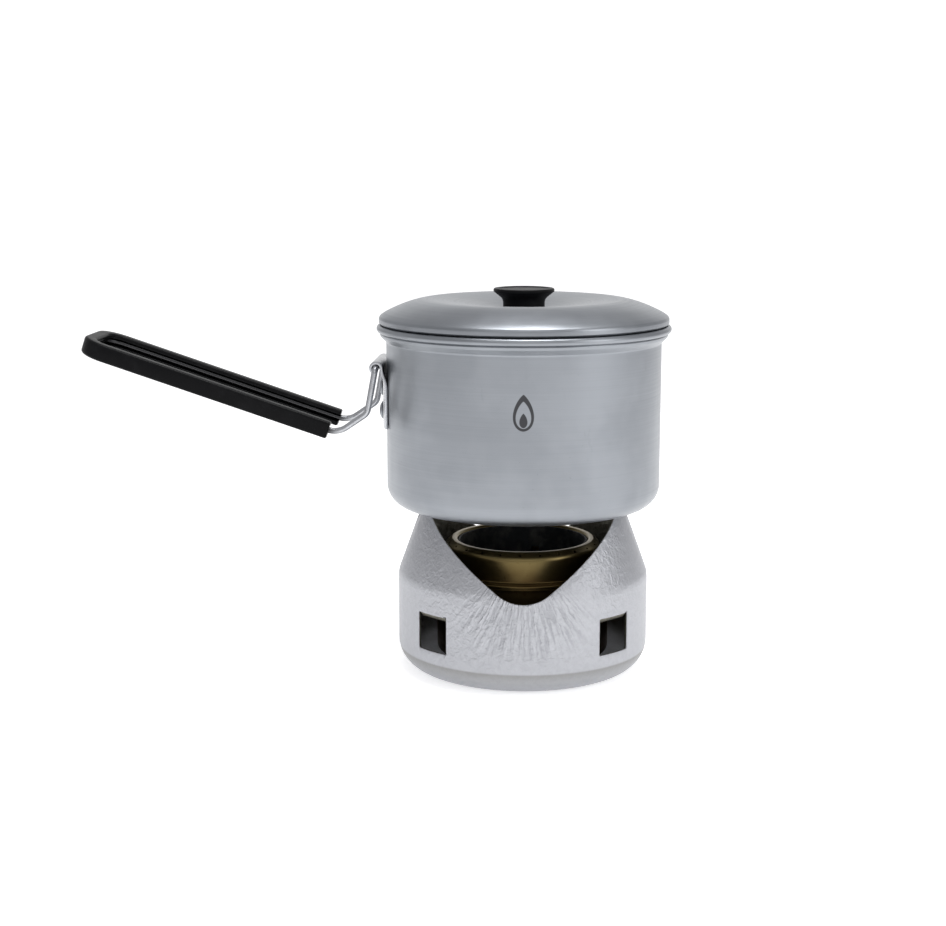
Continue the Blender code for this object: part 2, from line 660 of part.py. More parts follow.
def make_lid(finish):
    edge_top = LID_BOTTOM + LID_STEP + LID_SKIRT
    shoulder = LID_RADIUS - LID_EDGE_ROUND
    dome_edge = edge_top + LID_EDGE_ROUND * LID_EDGE_SHARE
    crest = dome_edge + LID_RISE
    hole = SCREW_RADIUS + CLEARANCE
    seat_top = crest - LID_DISH + SEAT_HEIGHT
    foot = SEAT_RADIUS + SEAT_SLOPE

    def dome(radius):
        if radius > LID_CREST:
            return crest - LID_RISE * ((radius - LID_CREST) / (shoulder - LID_CREST)) ** LID_OUTER_POWER
        return crest - LID_DISH * ((LID_CREST - radius) / (LID_CREST - foot)) ** LID_DISH_POWER

    spread = [foot + (LID_CREST - foot) * step / LID_TOP_STEPS for step in range(LID_TOP_STEPS)]
    spread += [LID_CREST + (shoulder - LID_CREST) * step / LID_TOP_STEPS for step in range(LID_TOP_STEPS + 1)]
    top = [Vector((hole, seat_top)), Vector((SEAT_RADIUS, seat_top))] + [Vector((r, dome(r))) for r in spread]
    top += fillet([(shoulder, dome_edge), (LID_RADIUS, edge_top + LID_CROWN), (LID_RADIUS, edge_top - LID_SKIRT)],
                  [LID_CROWN_ROUND])[1:]
    plug_outer = POT_RADIUS - POT_SHEET - LID_PLUG_PLAY
    rest = POT_RADIUS + BEAD_REACH - BEAD_RADIUS
    under = [Vector((rest, LID_BOTTOM)), Vector((plug_outer, LID_BOTTOM)), Vector((plug_outer, LID_BOTTOM - LID_PLUG)),
             Vector((plug_outer - LID_SHEET, LID_BOTTOM - LID_PLUG))]
    inner = [Vector((plug_outer - LID_SHEET, LID_BOTTOM + LID_SHEET))]
    inner += [Vector((r, dome(r) - LID_SHEET)) for r in reversed(spread) if r < plug_outer - LID_SHEET]
    inner += [Vector((SEAT_RADIUS - LID_SHEET / 2, seat_top - LID_SHEET)), Vector((hole, seat_top - LID_SHEET))]
    lid = turned("lid", top + under + inner, finish, ring=True)
    smooth(lid)
    return seat_top


def make_knob(plastic, steel, seat_top):
    foot = seat_top + CLEARANCE
    bore = SCREW_RADIUS + CLEARANCE
    bore_top = foot + SCREW_GRIP + BORE_TIP_PLAY
    rim_low = foot + KNOB_HEIGHT - KNOB_RIM
    dish = foot + KNOB_HEIGHT - KNOB_DISH
    outer = fillet(
        [(0, dish), (KNOB_TOP * KNOB_DISH_EDGE, dish), (KNOB_TOP * KNOB_RIM_EDGE, foot + KNOB_HEIGHT),
         (KNOB_TOP, foot + KNOB_HEIGHT), (KNOB_TOP, rim_low),
         (KNOB_NECK, foot + KNOB_FLARE_START), (KNOB_NECK, foot), (bore, foot)],
        [KNOB_DISH_ROUND, KNOB_DISH_ROUND, KNOB_RIM_ROUND, KNOB_UNDER_ROUND, KNOB_NECK_ROUND, KNOB_DISH_ROUND],
        KNOB_STEPS,
    )
    knob = turned("knob", outer + [Vector((bore, bore_top)), Vector((0, bore_top))], plastic, steps=SMALL_STEPS)
    smooth(knob)

    under = seat_top - LID_SHEET - CLEARANCE
    washer = turned(
        "knob_washer",
        [(bore, under), (WASHER_RADIUS, under), (WASHER_RADIUS, under - WASHER_SHEET), (bore, under - WASHER_SHEET)],
        steel, steps=SMALL_STEPS, ring=True,
    )
    smooth(washer)
    head_top = under - WASHER_SHEET - CLEARANCE
    screw = turned(
        "knob_screw",
        fillet(
            [(0, foot + SCREW_GRIP), (SCREW_RADIUS, foot + SCREW_GRIP), (SCREW_RADIUS, head_top), (SCREW_HEAD, head_top),
             (SCREW_HEAD, head_top - SCREW_HEAD_HEIGHT), (0, head_top - SCREW_HEAD_HEIGHT)],
            [SCREW_TIP_ROUND, 0.0, 0.0, SCREW_HEAD_ROUND], BAND_STEPS,
        ),
        steel, steps=PIN_STEPS,
    )
    driver = add_box("driver_slot_cutter", (2.4 * SCREW_HEAD, DRIVER_SLOT, 2 * DRIVER_SLOT_DEPTH),
                     (0, 0, head_top - SCREW_HEAD_HEIGHT))
    cut(screw, driver)
    smooth(screw)


def main():
    clear_scene()
    aluminium = material("pressed_aluminium", (0.62, 0.64, 0.66), 0.42, 1.0)
    spun = material("spun_aluminium", (0.60, 0.63, 0.65), 0.35, 1.0)
    brass = material("brass", (0.45, 0.36, 0.16), 0.30, 1.0)
    felt = material("wick_felt", (0.50, 0.46, 0.38), 0.95, 0.0)
    steel = material("stainless_steel", (0.56, 0.57, 0.58), 0.28, 1.0)
    plastic = material("black_plastic", (0.02, 0.02, 0.022), 0.38, 0.0)
    make_stand(aluminium)
    make_burner(brass, felt)
    make_pot(spun)
    make_bracket(steel)
    make_rivets(spun)
    make_handle(steel, plastic)
    seat_top = make_lid(spun)
    make_knob(plastic, steel, seat_top)


main()
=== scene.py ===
import bpy
import json
import math
from mathutils import Matrix, Vector


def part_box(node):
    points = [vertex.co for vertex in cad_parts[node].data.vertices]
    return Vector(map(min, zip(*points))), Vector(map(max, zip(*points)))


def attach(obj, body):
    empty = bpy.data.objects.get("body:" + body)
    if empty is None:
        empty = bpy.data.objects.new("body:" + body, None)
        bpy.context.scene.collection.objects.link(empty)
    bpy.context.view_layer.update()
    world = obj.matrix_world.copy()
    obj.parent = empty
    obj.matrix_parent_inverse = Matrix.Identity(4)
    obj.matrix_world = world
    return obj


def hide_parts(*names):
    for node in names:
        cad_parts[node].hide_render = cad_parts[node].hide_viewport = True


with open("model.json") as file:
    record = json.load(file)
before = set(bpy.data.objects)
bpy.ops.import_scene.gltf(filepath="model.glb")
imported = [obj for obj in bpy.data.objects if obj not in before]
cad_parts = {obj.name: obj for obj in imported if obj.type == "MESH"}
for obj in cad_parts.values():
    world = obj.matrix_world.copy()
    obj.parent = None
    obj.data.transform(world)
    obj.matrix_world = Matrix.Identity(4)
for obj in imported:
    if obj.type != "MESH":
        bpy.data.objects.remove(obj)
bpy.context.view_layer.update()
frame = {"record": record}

mm = 0.001


# shader sums
class Wire:
    def __init__(self, look, socket):
        self.look, self.socket = look, socket

    def sum(self, what, other, swap=False):
        first, second = (other, self) if swap else (self, other)
        return self.look.add("ShaderNodeMath", {"operation": what}, {0: first, 1: second})

    def __add__(self, other): return self.sum("ADD", other)
    def __sub__(self, other): return self.sum("SUBTRACT", other)
    def __mul__(self, other): return self.sum("MULTIPLY", other)
    def __truediv__(self, other): return self.sum("DIVIDE", other)
    def __pow__(self, other): return self.sum("POWER", other)
    def __rsub__(self, other): return self.sum("SUBTRACT", other, True)
    def __rtruediv__(self, other): return self.sum("DIVIDE", other, True)
    __radd__, __rmul__ = __add__, __mul__


class Look:
    def __init__(self, name, sky=False):
        self.material = (bpy.data.worlds if sky else bpy.data.materials).new(name)
        self.material.use_nodes = True
        self.tree = self.material.node_tree
        self.shader = self.tree.nodes["Background" if sky else "Principled BSDF"]

    def add(self, kind, settings={}, sockets={}, output=0):
        node = self.tree.nodes.new(kind)
        for key, value in settings.items():
            setattr(node, key, value)
        for key, value in sockets.items():
            self.feed(node.inputs[key], value)
        return Wire(self, node.outputs[output])

    def feed(self, socket, value):
        if isinstance(value, Wire):
            self.tree.links.new(value.socket, socket)
        else:
            socket.default_value = value

    def finish(self, **sockets):
        for key, value in sockets.items():
            self.feed(self.shader.inputs[key.replace("_", " ")], value)
        return self.material

    def axes(self):  # the piece's own x, y and z in metres
        where = self.add("ShaderNodeTexCoord", output="Object")
        return [self.add("ShaderNodeSeparateXYZ", {}, {0: where}, axis) for axis in range(3)]

    def join(self, x, y, z):
        return self.add("ShaderNodeCombineXYZ", {}, {0: x, 1: y, 2: z})

    def noise(self, vector, scale, detail=3.0, rough=0.5):
        return self.add("ShaderNodeTexNoise", {}, {"Vector": vector, "Scale": scale, "Detail": detail,
                                                   "Roughness": rough})

    def spread(self, value, low, high, start=0.0, stop=1.0):
        return self.add("ShaderNodeMapRange", {"interpolation_type": "SMOOTHSTEP"},
                        {0: value, 1: low, 2: high, 3: start, 4: stop})

    def mix(self, share, first, second):
        first, second = [c if isinstance(c, Wire) else (*c, 1) for c in (first, second)]
        return self.add("ShaderNodeMix", {"data_type": "RGBA"}, {0: share, 6: first, 7: second}, 2)

    def bump(self, height, distance, strength=1.0, under=None):
        sockets = {"Height": height, "Distance": distance, "Strength": strength}
        if under:
            sockets["Normal"] = under
        return self.add("ShaderNodeBump", {}, sockets)

    def root(self, value): return self.add("ShaderNodeMath", {"operation": "SQRT"}, {0: value})
    def size(self, value): return self.add("ShaderNodeMath", {"operation": "ABSOLUTE"}, {0: value})
    def larger(self, value, other): return value.sum("MAXIMUM", other)
    def smaller(self, value, other): return value.sum("MINIMUM", other)
    def heading(self, value, other): return value.sum("ARCTAN2", other)


# modelling
def roundCorners(points, radii, steps=6):  # a path with arcs in place of its inner corners
    points = [Vector(point) for point in points]
    path = [points[0]]
    for before, corner, after, radius in zip(points, points[1:], points[2:], radii):
        into, out = (corner - before).normalized(), (after - corner).normalized()
        turn = into.angle(out)
        if radius <= 0 or turn < 0.001:
            path.append(corner)
            continue
        middle = corner + (out - into).normalized() * (radius / math.cos(turn / 2))
        reach = radius * math.tan(turn / 2)
        start, stop = corner - into * reach - middle, corner + out * reach - middle
        for step in range(steps + 1):
            share = step / steps
            path.append(middle + start * (math.sin((1 - share) * turn) / math.sin(turn))
                        + stop * (math.sin(share * turn) / math.sin(turn)))
    return path + [points[-1]]


def arc(middle, radius, start, stop, steps):
    angles = [math.radians(start + (stop - start) * step / steps) for step in range(steps + 1)]
    return [Vector((middle[0] + radius * math.cos(a), middle[1] + radius * math.sin(a))) for a in angles]


def fresh():
    if bpy.context.object and bpy.context.object.mode != "OBJECT":
        bpy.ops.object.mode_set(mode="OBJECT")
    bpy.ops.object.select_all(action="DESELECT")


def named(name):
    piece = bpy.context.object
    piece.name = piece.data.name = name
    bpy.ops.object.transform_apply(location=True, rotation=True, scale=True)
    return piece


def extrude(step=(0, 0, 0)):
    bpy.ops.mesh.extrude_region_move(TRANSFORM_OT_translate={"value": tuple(step)})


def pick(piece, test):  # selects the vertices that pass, from edit mode
    bpy.ops.object.mode_set(mode="OBJECT")
    for part in (piece.data.polygons, piece.data.edges):
        for item in part:
            item.select = False
    for vertex in piece.data.vertices:
        vertex.select = test(vertex)
    bpy.ops.object.mode_set(mode="EDIT")
    bpy.ops.mesh.select_mode(type="VERT")


def closeUp(piece, doubles=0.000002):
    bpy.ops.mesh.select_mode(type="VERT")
    bpy.ops.mesh.select_all(action="SELECT")
    bpy.ops.mesh.remove_doubles(threshold=doubles)
    bpy.ops.mesh.normals_make_consistent(inside=False)
    bpy.ops.object.mode_set(mode="OBJECT")
    return piece


def turnPiece(name, outline, steps=192):  # rings drawn up one by one along (radius, height) points
    fresh()
    capped = outline[0][0] < 1e-7
    rings = [p for p in outline if p[0] > 1e-7]
    bpy.ops.mesh.primitive_circle_add(vertices=steps, radius=rings[0][0], location=(0, 0, rings[0][1]),
                                      fill_type="TRIFAN" if capped else "NOTHING")
    piece = named(name)
    bpy.ops.object.mode_set(mode="EDIT")
    bpy.ops.mesh.select_all(action="SELECT")
    if capped:
        bpy.ops.mesh.region_to_loop()
    radius, height = rings[0]
    for nextRadius, nextHeight in rings[1:] + ([] if capped else rings[:1]):
        extrude((0, 0, nextHeight - height))
        grow = nextRadius / radius
        bpy.ops.transform.resize(value=(grow, grow, 1), center_override=(0, 0, 0))
        radius, height = nextRadius, nextHeight
    if capped:
        extrude((0, 0, outline[-1][1] - height))
        bpy.ops.mesh.merge(type="CENTER")
    return closeUp(piece)


def drawLine(name, points, closed=True):  # one point, extruded from place to place
    fresh()
    bpy.ops.mesh.primitive_plane_add(size=0.001, location=tuple(points[0]))
    piece = named(name)
    bpy.ops.object.mode_set(mode="EDIT")
    bpy.ops.mesh.select_all(action="SELECT")
    bpy.ops.mesh.merge(type="CENTER")
    for before, after in zip(points, points[1:]):
        extrude(Vector(after) - Vector(before))
    if closed:
        extrude(Vector(points[0]) - Vector(points[-1]))
    bpy.ops.mesh.select_all(action="SELECT")
    bpy.ops.mesh.remove_doubles(threshold=0.000001)
    return piece


def slab(name, points, through):  # a closed outline pulled into a solid
    piece = drawLine(name, points)
    bpy.ops.mesh.edge_face_add()
    extrude(through)
    return closeUp(piece)


def sweep(piece, corners, radii, steps=8):  # the selected ring goes along a path and turns at its corners
    corners = [Vector(corner) for corner in corners]
    place = corners[0]
    for before, corner, after, radius in zip(corners, corners[1:], corners[2:], radii):
        into, out = (corner - before).normalized(), (after - corner).normalized()
        turn = into.angle(out)
        reach = radius * math.tan(turn / 2)
        extrude(corner - into * reach - place)
        middle = corner + (out - into).normalized() * (radius / math.cos(turn / 2))
        bpy.ops.mesh.spin(steps=steps, angle=-turn, center=middle, axis=into.cross(out).normalized())
        place = corner + out * reach
    extrude(corners[-1] - place)


def apply(piece, kind, **settings):
    fresh()
    bpy.context.view_layer.objects.active = piece
    piece.select_set(True)
    modifier = piece.modifiers.new(kind.lower(), kind)
    for key, value in settings.items():
        setattr(modifier, key, value)
    bpy.ops.object.modifier_apply(modifier=modifier.name)


def carve(piece, cutter, operation="DIFFERENCE"):
    apply(piece, "BOOLEAN", operation=operation, solver="EXACT", object=cutter)
    bpy.data.objects.remove(cutter, do_unlink=True)


def smooth(piece, degrees=32):
    fresh()
    bpy.context.view_layer.objects.active = piece
    piece.select_set(True)
    bpy.ops.object.shade_smooth_by_angle(angle=math.radians(degrees))


def dress(piece, finish, body, slot, *nodes):
    piece.data.materials.clear()
    piece.data.materials.append(finish)
    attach(piece, body)
    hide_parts(*nodes)


# windshield stand
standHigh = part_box("windshield_stand")[1]
stand = {
    "radius": standHigh[0], "height": standHigh[2], "sheet": 1.2 * mm, "corner": 12.5 * mm,
    "wallTop": 41.2 * mm, "lean": math.radians(19.9), "knee": 12.0 * mm, "turn": math.radians(2.3),
    "notchTip": 34.5 * mm, "notchSpread": 1.30, "notchRound": 17.0 * mm,
    "sideTip": 61.0 * mm, "sideSpread": 0.85, "sideRound": 1.5 * mm,
    "windowWide": 16.4 * mm, "windowLow": 15.2 * mm, "windowTall": 15.4 * mm,
    "windows": (45, 135, 225, 315), "tabWide": 14.8 * mm, "tabBend": 2.4 * mm, "tabEnd": 37.0 * mm,
    "tabLand": 3.6 * mm, "tabTop": 40.7 * mm, "tabLap": 1.6 * mm, "tabSetIn": 0.7 * mm, "tabSlope": 1.3 * mm,
    "tabHang": 5.9 * mm, "tabLandRound": 2.0 * mm, "windowRound": 0.6 * mm, "windowDeep": 10 * mm,
    "edge": 0.22 * mm, "foldsOver": 30 * mm, "footBand": (5 * mm, 17 * mm), "sideBand": (46 * mm, 36 * mm),
    # inner is painted shade: the dark, slightly brown colour given to the inside face of the sheet and the
    # tabs
    "tone": (0.44, 0.446, 0.470), "shade": (0.30, 0.305, 0.325), "inner": (0.15, 0.145, 0.12),
    "rough": 0.48,
    "rows": (38.3 * mm, 35.5 * mm, 31 * mm, 26 * mm, 21 * mm, 16 * mm),
}


def pressedLook():
    look = Look("pressedAluminium")
    x, y, z = look.axes()
    place = look.join(x, y, z)
    # how far round from a notch, and how far under its tip: the sheet is gathered there and fans out
    cosine, sine = math.cos(stand["turn"]), math.sin(stand["turn"])
    across = x * cosine + y * sine
    away = look.size(y * cosine - x * sine)
    sideways = look.heading(across, away) * stand["radius"]
    over = z - (stand["notchTip"] + stand["foldsOver"])
    fan = look.heading(sideways, over * -1)
    reach = look.root(sideways * sideways + over * over)
    grain = look.noise(place, 1500.0, 3.0, 0.6)
    broad = look.noise(place, 90.0, 2.0, 0.5)
    lumps = look.noise(place, 480.0, 2.0, 0.55)
    folds = look.noise(look.join(fan * 10.0 + lumps * 0.30, reach * 26, 0.0), 3.0, 2.0, 0.55)
    folded = look.spread(reach, 21 * mm, 26 * mm) * look.spread(reach, 53 * mm, 38 * mm) \
        * look.spread(look.size(fan), 0.95, 0.40)
    # short crinkles all over the wall
    crinkles = 1 - look.smaller(look.size(look.noise(place, 260.0, 2.0, 0.6) - 0.5) * 9, 1.0)
    # the rounded foot and the sides keep more of the sheet's own finish
    calm = look.spread(z, *stand["footBand"], 0.25, 1.0) \
        * look.spread(look.size(across), *stand["sideBand"], 0.45, 1.0)
    creased = (folds - 0.5) * folded
    height = (lumps - 0.5) * calm * 0.40 + crinkles * calm * 0.20 + grain * calm * 0.12 + creased * 2.0
    normal = look.bump(height, 0.55 * mm, 1.0)
    # painted shade: the colour is darker in the low parts of the folds under the notch
    creaseShade = look.spread(creased, -0.10, 0.06, 0.55, 0.0)
    dark = look.spread(lumps, 0.62, 0.30, 0.0, 0.16) + creaseShade + look.spread(broad, 0.60, 0.35, 0.0, 0.10)
    # painted shade: the inside face of the sheet and the tabs are coloured dark, with a slight brown tint
    # standing in for the brass's reflection
    wall = stand["radius"] - look.larger(z - stand["wallTop"], 0.0) * math.tan(stand["lean"])
    insideShade = look.spread(wall - look.root(x * x + y * y), 0.17 * stand["sheet"], 0.38 * stand["sheet"]) \
        * look.spread(z, 1.0 * stand["sheet"], 1.4 * stand["corner"])
    tone = look.mix(insideShade, look.mix(dark, stand["tone"], stand["shade"]), stand["inner"])
    rough = stand["rough"] + (grain - 0.5) * 0.22 + (broad - 0.5) * 0.10
    return look.finish(Base_Color=tone, Metallic=0.92, Roughness=rough, Normal=normal)


def wallRadius(height):
    return stand["radius"] - max(height - stand["wallTop"], 0) * math.tan(stand["lean"])


def notchSolid(name, tip, spread, rounding, turn):  # straight on the sheet before it is rolled up
    lean, top = stand["lean"], stand["wallTop"]
    long = top + (stand["height"] - top) / math.cos(lean)
    reach = long - tip
    flat = roundCorners([(-spread * reach, long), (0, tip), (spread * reach, long)], [rounding], 14)
    left = [flat[0].lerp(flat[1], step / 8) for step in range(8)]
    right = [flat[-2].lerp(flat[-1], (step + 1) / 8) for step in range(8)]
    seen = []
    for across, along in left + flat[1:-1] + right:
        height = min(along, top) + max(along - top, 0) * math.cos(lean)
        radius = wallRadius(height)
        seen.append((radius * math.sin(max(-1.5, min(1.5, across / radius))), height))
    above = stand["height"] + 5 * mm
    seen = [(seen[0][0], above)] + seen + [(seen[-1][0], above)]
    deep = stand["radius"] + 5 * mm
    side, front = Vector((math.cos(turn), math.sin(turn), 0)), Vector((math.sin(turn), -math.cos(turn), 0))
    return slab(name, [side * x + front * deep + Vector((0, 0, z)) for x, z in seen], front * (-2 * deep))


def makeStand(finish):
    radius, sheet, lean, top = stand["radius"], stand["sheet"], stand["lean"], stand["wallTop"]
    height = stand["height"]
    innerTop = top - sheet * math.tan(lean / 2)
    innerRim = wallRadius(height) - sheet / math.cos(lean)
    rows = stand["rows"]
    level = [0.0] * len(rows)
    inner = roundCorners([(0, sheet), (radius - sheet, sheet)] + [(radius - sheet, z) for z in rows[::-1]]
                         + [(radius - sheet, innerTop), (innerRim, height)],
                         [stand["corner"] - sheet] + level + [stand["knee"] - sheet], 10)
    outer = roundCorners([(wallRadius(height), height), (radius, top)] + [(radius, z) for z in rows]
                         + [(radius, 0), (0, 0)], [stand["knee"]] + level + [stand["corner"]], 10)
    piece = turnPiece("standShell", inner + outer, 224)
    turn = stand["turn"]
    carve(piece, notchSolid("notchTool", stand["notchTip"], stand["notchSpread"], stand["notchRound"],
                            turn))
    carve(piece, notchSolid("sideNotchTool", stand["sideTip"], stand["sideSpread"], stand["sideRound"],
                            turn + math.pi / 2))
    windowTop = stand["windowLow"] + stand["windowTall"]
    middle = stand["windowLow"] + stand["windowTall"] / 2
    for angle in stand["windows"]:
        about = math.radians(angle) + turn
        out = Vector((math.cos(about), math.sin(about), 0))
        size = (stand["windowDeep"], stand["windowWide"], stand["windowTall"])
        fresh()
        bpy.ops.mesh.primitive_cube_add(size=1, location=out * radius + Vector((0, 0, middle)),
                                        rotation=(0, 0, about), scale=size)
        tool = named("windowTool")
        bpy.ops.object.mode_set(mode="EDIT")
        bpy.ops.mesh.select_all(action="SELECT")
        bpy.ops.mesh.bevel(offset=stand["windowRound"], segments=3)
        bpy.ops.object.mode_set(mode="OBJECT")
        carve(piece, tool)
    edges = {"width": stand["edge"], "segments": 2, "limit_method": "ANGLE", "angle_limit": math.radians(50),
             "use_clamp_overlap": False}
    apply(piece, "BEVEL", **edges)
    # each tab hangs from its window's top edge, bends in and runs up to the burner
    root = radius - sheet / 2 - stand["tabSetIn"]
    end, land, rise = stand["tabEnd"], stand["tabLand"], stand["tabTop"] - sheet / 2
    path = roundCorners([(root, windowTop + stand["tabLap"]),
                         (root - stand["tabSlope"], windowTop - stand["tabHang"]),
                         (end + land, rise), (end, rise)],
                        [stand["tabBend"], stand["tabLandRound"]], 10)
    for angle in stand["windows"]:
        about = math.radians(angle) + turn
        along = Vector((math.cos(about), math.sin(about), 0))
        side = Vector((-math.sin(about), math.cos(about), 0)) * stand["tabWide"]
        row = [along * r - side / 2 + Vector((0, 0, z)) for r, z in path]
        tab = drawLine("tabSheet", row, closed=False)
        bpy.ops.mesh.select_all(action="SELECT")
        for _ in range(6):
            extrude(side / 6)
        closeUp(tab)
        apply(tab, "SOLIDIFY", thickness=sheet, offset=0.0, use_even_offset=True)
        apply(tab, "BEVEL", **edges)
        fresh()
        tab.select_set(True)
        bpy.context.view_layer.objects.active = piece
        piece.select_set(True)
        bpy.ops.object.join()
    smooth(piece, 38)
    dress(piece, finish, "stand", "pressed_aluminium", "windshield_stand")
    print("stand made", len(piece.data.polygons))


# burner
cupLow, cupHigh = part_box("burner_cup")
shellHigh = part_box("burner_upper_shell")[1]
wellLow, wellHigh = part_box("burner_inner_wall")
wickLow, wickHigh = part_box("burner_wick")
burner = {
    "base": cupLow[2], "cupRadius": 36.5 * mm, "cupCorner": 3.0 * mm, "sheet": 0.8 * mm,
    "flangeLow": 41.0 * mm, "flangeTop": 42.9 * mm, "flangeRadius": shellHigh[0], "collar": 33.2 * mm,
    "shoulder": 2.6 * mm, "top": shellHigh[2], "rim": 27.7 * mm, "rimDeep": 5.0 * mm,
    "well": wellHigh[0], "wellSheet": 0.7 * mm, "jets": 24, "jet": 0.5 * mm,
    "slots": 4, "slotWide": 3.4 * mm, "slotTall": 1.8 * mm, "slotDrop": 10.2 * mm,
    "slotTurn": math.radians(80), "rimSlope": 2.4 * mm, "jetDrop": 1.2 * mm, "lipBend": 0.9 * mm,
    "wickPlay": 0.4 * mm, "wickRound": 1.5 * mm,
    "tone": (0.155, 0.118, 0.050), "tint": (0.082, 0.050, 0.018), "soot": (0.03, 0.028, 0.026),
    "rough": 0.33,
}


def brassLook():
    look = Look("heatedBrass")
    x, y, z = look.axes()
    place = look.join(x, y, z)
    radius = look.root(x * x + y * y)
    rings = look.noise(look.join(x * 12, y * 12, (z + radius) * 2600), 1.0, 2.0, 0.5)
    clouds = look.noise(place, 70.0, 4.0, 0.6)
    spots = look.noise(place, 420.0, 3.0, 0.65)
    # the heat has browned the wall under the jets and just over the flange
    hot = look.spread(z, burner["top"] - 1 * mm, burner["flangeTop"], 0.0, 0.75)
    tint = look.smaller(hot * look.spread(clouds, 0.30, 0.62, 0.45, 1.0)
                        + look.spread(spots, 0.60, 0.75, 0.0, 0.35), 1.0)
    warm = look.mix(tint, burner["tone"], burner["tint"])
    stained = look.mix(look.spread(clouds, 0.62, 0.80, 0.0, 0.4), warm, burner["soot"])
    rough = burner["rough"] + (rings - 0.5) * 0.16 + tint * 0.08
    normal = look.bump(rings, 0.02 * mm, 0.6, look.bump(clouds, 0.25 * mm, 0.35))
    return look.finish(Base_Color=stained, Metallic=1.0, Roughness=rough, Normal=normal)


def wellLook():
    look = Look("sootedWell")
    x, y, z = look.axes()
    place = look.join(x, y, z)
    clouds = look.noise(place, 120.0, 4.0, 0.6)
    rings = look.noise(look.join(x * 12, y * 12, z * 1800), 1.0, 2.0, 0.5)
    # painted shade: the inner wall is coloured dark grey in place of brass lying in shade, in cloudy patches
    patchyShade = look.spread(clouds, 0.30, 0.60, 0.55, 1.0)
    tone = look.mix(patchyShade, (0.16, 0.15, 0.13), (0.035, 0.037, 0.040))
    rough = 0.46 + (rings - 0.5) * 0.12 + patchyShade * 0.16
    normal = look.bump(rings, 0.02 * mm, 0.6)
    return look.finish(Base_Color=tone, Metallic=0.85, Roughness=rough, Normal=normal)


def feltLook():
    look = Look("wickFelt")
    x, y, z = look.axes()
    hairs = look.noise(look.join(x, y, z * 0.5), 2200.0, 4.0, 0.7)
    clumps = look.noise(look.join(x, y, z), 380.0, 3.0, 0.6)
    burnt = look.spread(z, wickHigh[2] - 7 * mm, wickHigh[2] + 1 * mm, 0.0, 0.85)
    tone = look.mix(burnt, look.mix(clumps, (0.34, 0.30, 0.23), (0.58, 0.53, 0.43)), (0.06, 0.05, 0.04))
    normal = look.bump(hairs, 0.12 * mm, 0.9, look.bump(clumps, 0.5 * mm, 0.6))
    return look.finish(Base_Color=tone, Metallic=0.0, Roughness=0.95, Sheen_Weight=0.25, Normal=normal)


